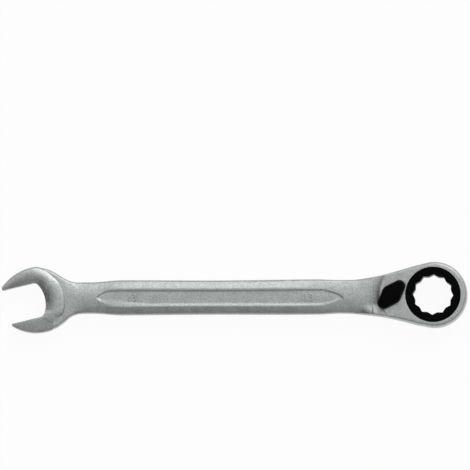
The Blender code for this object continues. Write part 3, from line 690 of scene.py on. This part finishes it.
def jaw_section(width, share):
    """Distances from the mouth's edge, and heights, over the crowned face."""
    inner_slope, outer_slope, place, rounding = crown_at(share)
    edge = min(mouth_edge, mouth_edge_limit * width)
    rim = min(rounding * mm, jaw_rim_limit * width)
    top = edge + (width - edge - rim) * place
    bend = 2 - lower_lobe_bend * ease(share, *lower_lobe_start)
    run = width - rim - top

    def height(d):
        if d < top:
            return jaw_half - 0.5 * inner_slope * (top - d) ** 2 / (top - edge)
        return jaw_half - outer_slope * run / bend * ((d - top) / run) ** bend

    inner, outer = (edge, height(edge)), (width - rim, height(width - rim))
    mouth, start = (0.0, inner[1]), (0.0, inner[1] - edge)
    rows = [bent(start, mouth, inner, step) for step in spaced(0, 1, jaw_steps["mouth"])]
    rows += [(d, height(d)) for d in spaced(edge, width - rim, jaw_steps["face"])]
    corner = (width, outer[1] - outer_slope * rim)
    low = (width, max(corner[1] - jaw_rim_height * rim, jaw_upright))
    return rows + [bent(outer, corner, low, step)
                   for step in spaced(0, 1, jaw_steps["rim"]) + [1]]


def jaw():
    """The C-shaped jaw with a crowned face on both sides."""
    steps = jaw_steps["along"]
    loops = []
    ends = zip(resampled(jaw_inner(), steps), resampled(jaw_outer(), steps))
    for k, (near, far) in enumerate(ends):
        width = hypot(far[0] - near[0], far[1] - near[1])
        top = []
        for d, z in jaw_section(width, k / steps):
            share = d / width
            point = jaw_point(near[0] + (far[0] - near[0]) * share,
                              near[1] + (far[1] - near[1]) * share)
            top.append((point[0] + ring_x, point[1], z))
        loops.append([(x, y, mid + z) for x, y, z in top]
                     + [(x, y, mid - z) for x, y, z in reversed(top)])
    return skin(loops)


# ---- the ratchet's cavities and the lever ----
def cavities():
    """The gear's bore, the lever's hole and the pawl's pocket, as one tool."""
    tool = add_object("bore_tool", turned_mm(bore_steps, segments["bore"], ring_x))
    lever_hole = add_object("lever_hole_tool",
                            turned_mm(lever_hole_steps, segments["lever_hole"], pivot_x))
    half = [(pivot_x + x * mm, y * mm) for x, y in pocket_half_outline]
    outline = half + [(x, -y) for x, y in reversed(half)]
    pocket = add_object("pocket_tool", skin([[(x, y, mid + z) for x, y in outline]
                                             for z in (-pocket_half_height, pocket_half_height)]))
    boolean(tool, lever_hole, 'UNION')
    boolean(tool, pocket, 'UNION')
    settle(tool, [lever_hole, pocket])
    return tool


def build_forging(finish, bore_shade_finish):
    """The shank, head and jaw in one piece, with painted shade in the gear's bore: its upright
    walls are coloured far darker than the chrome.
    """
    forging = add_object("forging", shank_and_head())
    jaw_form = add_object("jaw_form", jaw())
    tool = cavities()
    boolean(forging, jaw_form, 'UNION')
    boolean(forging, tool, 'DIFFERENCE')
    settle(forging, [jaw_form, tool])
    forging.data.materials.append(finish)
    forging.data.materials.append(bore_shade_finish)
    # the bore's upright faces take the painted shade
    for face in forging.data.polygons:
        place = face.center
        near = hypot(place.x - ring_x, place.y) < bore_reach
        if near and abs(face.normal.z) < upright_normal:
            face.material_index = 1
    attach(forging, "wrench")
    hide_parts("wrench_body")


def lever_outline(shrink):
    """Lozenge with round corners, long axis along X, drawn in by shrink."""
    tip, side = lever_tip_round - shrink, lever_side_round - shrink
    tip_at, side_at = lever_half_length - lever_tip_round, lever_half_width - lever_side_round
    lean = acos((lever_side_round - lever_tip_round) / hypot(tip_at, side_at))
    lean = degrees(lean - atan2(side_at, tip_at))
    tip_sides, side_sides = segments["lever_tip"], segments["lever_side"]
    outline = arc((tip_at, 0), tip, -lean, lean, tip_sides)
    outline += arc((0, side_at), side, lean, 180 - lean, side_sides)
    outline += arc((-tip_at, 0), tip, 180 - lean, 180 + lean, tip_sides)
    return outline + arc((0, -side_at), side, 180 + lean, 360 - lean, side_sides)


def build_lever(finish, highlight_finish):
    """The lever's plate with a softly broken edge, on its post with clip groove and bore. Its top
    bevel gets a painted highlight: a lighter, glossier black than the plate.
    """
    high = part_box("reversing_lever")[1].z
    low = body_high.z + lever_foot
    levels = [(lever_under_edge, low), (0.0, low + lever_under_edge)]
    levels += [(inward * mm, high - down * mm) for inward, down in lever_edge_rows]
    turn = Matrix.Rotation(radians(lever_turn), 4, 'Z')
    plate = skin([[(x, y, z) for x, y in lever_outline(d)] for d, z in levels])
    plate.transform(Matrix.Translation((pivot_x + lever_shift, 0, 0)) @ turn)
    lever = add_object("lever", plate)
    post_form = add_object("post_form", turned_mm(post_steps, segments["post"], pivot_x))
    drill = turned([(detent_bore[0], reach) for reach in detent_reach], segments["detent"])
    drill.transform(Matrix.Translation((pivot_x, 0, mid + detent_bore[1])) @ turn
                    @ Matrix.Rotation(pi / 2, 4, 'Y'))
    detent_drill = add_object("detent_drill", drill)
    boolean(lever, post_form, 'UNION')
    boolean(lever, detent_drill, 'DIFFERENCE')
    settle(lever, [post_form, detent_drill])
    lever.data.materials.append(finish)
    lever.data.materials.append(highlight_finish)
    flattest, steepest = lever_edge_normal
    # faces on the top bevel take the painted highlight
    for face in lever.data.polygons:
        on_edge = face.center.z > high - lever_edge_rows[0][1] * mm
        if on_edge and flattest < face.normal.z < steepest:
            face.material_index = 1
    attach(lever, "lever")
    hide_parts("reversing_lever")


def weld(mesh):
    """Joins the faces of a text, which come apart at their edges."""
    bm = bmesh.new()
    bm.from_mesh(mesh)
    bmesh.ops.remove_doubles(bm, verts=bm.verts, dist=weld_distance)
    bm.to_mesh(mesh)
    bm.free()


def build_numbers(finish):
    """The size, 13, raised at both ends of both panels."""
    for side, name in ((1, "front"), (-1, "back")):
        for k, place in enumerate(number_places):
            text = bpy.data.curves.new("size_text", 'FONT')
            text.body = "13"
            text.size = number_height / figure_share
            text.align_x, text.align_y = 'CENTER', 'CENTER'
            text.extrude = number_relief / 2
            text.bevel_depth = number_bevel
            text.bevel_resolution = 2
            holder = link_object("size_text", text)
            mesh = evaluated_mesh(holder)
            bpy.data.objects.remove(holder)
            weld(mesh)
            low = min(v.co.y for v in mesh.vertices)
            high = max(v.co.y for v in mesh.vertices)
            level = mid + side * (shank_half - panel_depth)
            turn = Matrix.Rotation(0 if side > 0 else pi, 4, 'X')
            mesh.transform(Matrix.Translation((ring_x + place, section_axis(place), level)) @ turn
                           @ Matrix.Translation((0, -(low + high) / 2, 0)))
            smoothed(mesh, number_smooth)
            mesh.materials.append(finish)
            number = link_object(f"size_number_{name}_{k + 1}", mesh)
            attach(number, "wrench")


# ---- finishes ----
# Scales are features to the metre, and shade is the darker patches' share of the colour.
noise_roughness = 0.6
middle = (0.3, 0.7)            # the range that a noise mostly keeps to
contrast = (0.35, 0.65)        # a narrower one, where its colours should differ more
chrome_contrast = (0.36, 0.64)
chrome_colours = ((0.350, 0.372, 0.366), (0.522, 0.553, 0.544))
chrome_roughness = (0.28, 0.38)
chrome_scales = {"patches": 260, "grain": 1500, "streaks": 700}
chrome_depth = 0.06 * mm
patch_share = 0.3              # of the patches in the colour; the grain has the rest
streak_share = 0.6             # height of the streaks over the grain's
streak_roughness = 0.08        # the most that they add
streak_stretch = (2.2, 0.22, 0.22)
black = dict(detail=4, tone_scale=420, shade=0.6, specular=0.035)
bright = dict(scale=2500, depth=0.01 * mm, shade=0.8, metallic=1.0)
finishes = {
    # painted shade: the bore's walls are darkened where the gap round the gear lies in shade
    "bore_painted_shade": dict(bright, colour=(0.08, 0.08, 0.08), roughness=(0.45, 0.58)),
    "spring_steel": dict(bright, colour=(0.4, 0.4, 0.42), roughness=(0.25, 0.38)),
    "pawl_steel": dict(bright, colour=(0.28, 0.28, 0.29), roughness=(0.30, 0.43)),
    "pin_steel": dict(bright, colour=(0.6, 0.6, 0.6), roughness=(0.20, 0.33)),
    "gear_black": dict(black, colour=(0.0016, 0.0016, 0.0018), roughness=(0.26, 0.40),
                       scale=1800, depth=0.02 * mm),
    "lever_black": dict(black, colour=(0.0012, 0.0012, 0.0014), roughness=(0.24, 0.38),
                        scale=2200, depth=0.015 * mm),
    # painted highlight: the lever's top bevel is a lighter, glossier black than the plate
    "lever_edge_painted_highlight": dict(black, colour=(0.004, 0.004, 0.0045), roughness=(0.28, 0.42),
                       scale=2200, depth=0.015 * mm, specular=0.2),
    "black_rubber": dict(colour=(0.03, 0.03, 0.03), roughness=(0.55, 0.75), scale=3000,
                         depth=0.02 * mm, shade=0.4, tones=(0.0, 1.0))}
painted = {"ratchet_gear": "gear_black", "pawl": "pawl_steel", "detent_plunger": "pin_steel",
           "detent_spring": "spring_steel", "gear_retaining_ring": "spring_steel",
           "lever_retaining_clip": "spring_steel", "gear_friction_ring": "black_rubber",
           "lever_o_ring": "black_rubber"}


def adjusted(made, settings):
    """Sets a shader node's sockets and properties by their names."""
    for key, value in settings.items():
        if key in made.inputs:
            made.inputs[key].default_value = value
        else:
            setattr(made, key, value)
    return made


def node(tree, kind, **settings):
    return adjusted(tree.nodes.new(kind), settings)


def new_material(name, **sockets):
    made = bpy.data.materials.new(name)
    made.use_nodes = True
    tree = made.node_tree
    return made, tree, adjusted(tree.nodes["Principled BSDF"], sockets)


def noise(tree, place, scale, detail=3, stretch=(1, 1, 1)):
    mapping = node(tree, "ShaderNodeMapping", Scale=[scale * s for s in stretch])
    tree.links.new(place, mapping.inputs["Vector"])
    made = node(tree, "ShaderNodeTexNoise", Scale=1.0, Detail=detail, Roughness=noise_roughness)
    tree.links.new(mapping.outputs["Vector"], made.inputs["Vector"])
    return made.outputs["Fac"]


def mapped(tree, value, low, high, to_low=0.0, to_high=1.0):
    """The value, moved from low and high to the other two and kept between them."""
    made = node(tree, "ShaderNodeMapRange", **{
        "From Min": low, "From Max": high, "To Min": to_low, "To Max": to_high})
    tree.links.new(value, made.inputs["Value"])
    return made.outputs["Result"]


def maths(tree, operation, a, b):
    made = node(tree, "ShaderNodeMath", operation=operation)
    for socket, value in zip(made.inputs, (a, b)):
        if isinstance(value, (int, float)):
            socket.default_value = value
        else:
            tree.links.new(value, socket)
    return made.outputs["Value"]


def finished(tree, shader, tone, colours, roughness, height, depth):
    """Gives the shader its colour, between the two by tone, its roughness and its relief."""
    mix = node(tree, "ShaderNodeMix", data_type='RGBA', A=(*colours[0], 1), B=(*colours[1], 1))
    tree.links.new(tone, mix.inputs["Factor"])
    tree.links.new(mix.outputs["Result"], shader.inputs["Base Color"])
    tree.links.new(roughness, shader.inputs["Roughness"])
    bump = node(tree, "ShaderNodeBump", Distance=depth)
    tree.links.new(height, bump.inputs["Height"])
    tree.links.new(bump.outputs["Normal"], shader.inputs["Normal"])


def satin_chrome():
    """Matt chrome over a blasted forging: soft patches, finer grain and cross streaks."""
    made, tree, shader = new_material("satin_chrome", Metallic=1.0)
    place = node(tree, "ShaderNodeTexCoord").outputs["Object"]
    patches = noise(tree, place, chrome_scales["patches"])
    grain = noise(tree, place, chrome_scales["grain"], 4)
    streaks = noise(tree, place, chrome_scales["streaks"], 3, streak_stretch)
    tone = maths(tree, 'ADD', maths(tree, 'MULTIPLY', patches, patch_share),
                 maths(tree, 'MULTIPLY', grain, 1 - patch_share))
    rough = maths(tree, 'ADD', mapped(tree, patches, *middle, *chrome_roughness),
                  mapped(tree, streaks, *middle, 0.0, streak_roughness))
    height = maths(tree, 'ADD', grain, maths(tree, 'MULTIPLY', streaks, streak_share))
    finished(tree, shader, mapped(tree, tone, *chrome_contrast), chrome_colours, rough,
             height, chrome_depth)
    return made


def grained(name, colour, roughness, scale, depth, shade, metallic=0.0, specular=0.5, detail=3,
            tone_scale=None, tones=contrast):
    """A fine grain in gloss and height, and in colour, unless that has patches of its own."""
    made, tree, shader = new_material(name, Metallic=metallic, **{"Specular IOR Level": specular})
    place = node(tree, "ShaderNodeTexCoord").outputs["Object"]
    grain = noise(tree, place, scale, detail)
    tone = noise(tree, place, tone_scale) if tone_scale else grain
    colours = ([shade * c for c in colour], colour)
    finished(tree, shader, mapped(tree, tone, *tones), colours,
             mapped(tree, grain, *middle, *roughness), grain, depth)
    return made


# ---- floor, world, lights and camera ----
floor_half = 3.0
floor_gap = 0.2 * mm           # below the wrench
floor_grey = 0.93
floor_roughness = 0.9
floor_glow = 0.94              # how much of plain white the camera and reflections see in it
# The sky's grey goes by the angle from this direction, from opposite to it (0) to along it (1).
sky_axis = (0.30, 0.52, 0.80)
sky_greys = ((0.0, 0.30), (0.40, 0.28), (0.49, 0.18), (0.55, 0.13), (0.70, 0.21), (0.81, 0.32),
             (0.90, 0.40), (0.95, 0.54), (1.0, 0.92))
sky_strength = 2.0
# The left is darker, less so towards +Y and -Y, and the right is a little darker. The values are
# a range of the direction's X or Y, and the light or the fading at both its ends.
left_light = (-0.62, -0.05, 0.16, 1.0)
upper_fade = (0.05, 0.33, 0.0, 1.0)
lower_fade = (-0.55, -0.22, 1.0, 0.0)
right_light = (0.08, 0.55, 1.0, 0.80)
key_place = (0.5, 1.1, 1.0)
key_size = (0.9, 0.5)
key_power = 4.0


def build_stage():
    """A pale paper floor that looks white to the camera and in reflections."""
    bm = bmesh.new()
    bmesh.ops.create_grid(bm, x_segments=1, y_segments=1, size=floor_half)
    floor = add_object("floor", bm)
    floor.location.z = min(cad_box[0][2], 0.0) - floor_gap
    made, tree, shader = new_material("floor_paper", Roughness=floor_roughness, **{
        "Base Color": (floor_grey, floor_grey, floor_grey, 1), "Specular IOR Level": 0.0})
    rays = node(tree, "ShaderNodeLightPath")
    seen = maths(tree, 'MAXIMUM', rays.outputs["Is Camera Ray"], rays.outputs["Is Glossy Ray"])
    seen = maths(tree, 'MAXIMUM', seen, rays.outputs["Is Transmission Ray"])
    glow = node(tree, "ShaderNodeEmission")
    mix = node(tree, "ShaderNodeMixShader")
    tree.links.new(maths(tree, 'MULTIPLY', seen, floor_glow), mix.inputs[0])
    tree.links.new(shader.outputs[0], mix.inputs[1])
    tree.links.new(glow.outputs[0], mix.inputs[2])
    tree.links.new(mix.outputs[0], tree.nodes["Material Output"].inputs["Surface"])
    floor.data.materials.append(made)


def build_world():
    """A soft studio: bright from the upper right, dim from the left."""
    world = bpy.data.worlds.new("studio")
    bpy.context.scene.world = world
    world.use_nodes = True
    tree = world.node_tree
    background = tree.nodes["Background"]
    direction = node(tree, "ShaderNodeTexCoord").outputs["Generated"]
    lean = node(tree, "ShaderNodeVectorMath", operation='DOT_PRODUCT')
    lean.inputs[1].default_value = Vector(sky_axis).normalized()
    tree.links.new(direction, lean.inputs[0])
    ramp = node(tree, "ShaderNodeValToRGB")
    stops = ramp.color_ramp.elements
    for place, grey in sky_greys[1:-1]:
        stops.new(place)
    for stop, (place, grey) in zip(stops, sky_greys):
        stop.color = (grey, grey, grey, 1)
    tree.links.new(mapped(tree, lean.outputs["Value"], -1.0, 1.0), ramp.inputs["Fac"])
    parts = node(tree, "ShaderNodeSeparateXYZ")
    tree.links.new(direction, parts.inputs[0])
    left = mapped(tree, parts.outputs["X"], *left_light)
    right = mapped(tree, parts.outputs["X"], *right_light)
    beside = maths(tree, 'MAXIMUM', mapped(tree, parts.outputs["Y"], *upper_fade),
                   mapped(tree, parts.outputs["Y"], *lower_fade))
    dark = maths(tree, 'MULTIPLY', maths(tree, 'SUBTRACT', 1.0, left),
                 maths(tree, 'SUBTRACT', 1.0, beside))
    shade = node(tree, "ShaderNodeVectorMath", operation='SCALE')
    tree.links.new(ramp.outputs["Color"], shade.inputs[0])
    tree.links.new(maths(tree, 'MULTIPLY', maths(tree, 'SUBTRACT', 1.0, dark), right),
                   shade.inputs["Scale"])
    tree.links.new(shade.outputs["Vector"], background.inputs["Color"])
    background.inputs["Strength"].default_value = sky_strength


def build_key_light():
    data = bpy.data.lights.new("key", 'AREA')
    data.shape = 'RECTANGLE'
    data.size, data.size_y = key_size
    data.energy = key_power
    lamp = link_object("key", data)
    lamp.location = key_place
    lamp.rotation_euler = (-Vector(key_place)).to_track_quat('-Z', 'Y').to_euler()


view_width = 176.7 * mm        # what the view spans at the forging's middle plane
view_centre = (-74.515 * mm, 22.557 * mm)      # its middle from the ring's, across and up
view_distance = 2.4
view_roll = 0.54               # degrees
view_lean = (2.9, -3.6)        # degrees from straight above towards +X and +Y
sensor_width = 36.0            # mm


def build_camera():
    """Looks down on the whole wrench, nearly square."""
    data = bpy.data.cameras.new("camera")
    data.sensor_width = sensor_width
    data.lens = sensor_width * view_distance / view_width
    camera = link_object("camera", data)
    turn = Matrix.Rotation(radians(-view_roll), 3, 'Z')
    right, above = (tan(radians(angle)) for angle in view_lean)
    back = Vector((right, above, 1.0)).normalized()
    across = -(turn @ Vector((1, 0, 0))).cross(back).cross(back).normalized()
    camera.rotation_euler = Matrix((across, back.cross(across), back)).transposed().to_euler()
    middle_point = Vector((ring_x, 0, mid)) + turn @ Vector((*view_centre, 0))
    camera.location = middle_point + back * view_distance
    bpy.context.scene.camera = camera


def main():
    chrome = satin_chrome()
    made = {name: grained(name, **settings) for name, settings in finishes.items()}
    build_forging(chrome, made["bore_painted_shade"])
    build_numbers(chrome)
    build_lever(made["lever_black"], made["lever_edge_painted_highlight"])
    for name, finish in painted.items():
        nodes[name].data.materials.clear()
        nodes[name].data.materials.append(made[finish])
    build_stage()
    build_world()
    build_key_light()
    build_camera()
    bpy.context.scene.view_settings.view_transform = 'Standard'


main()
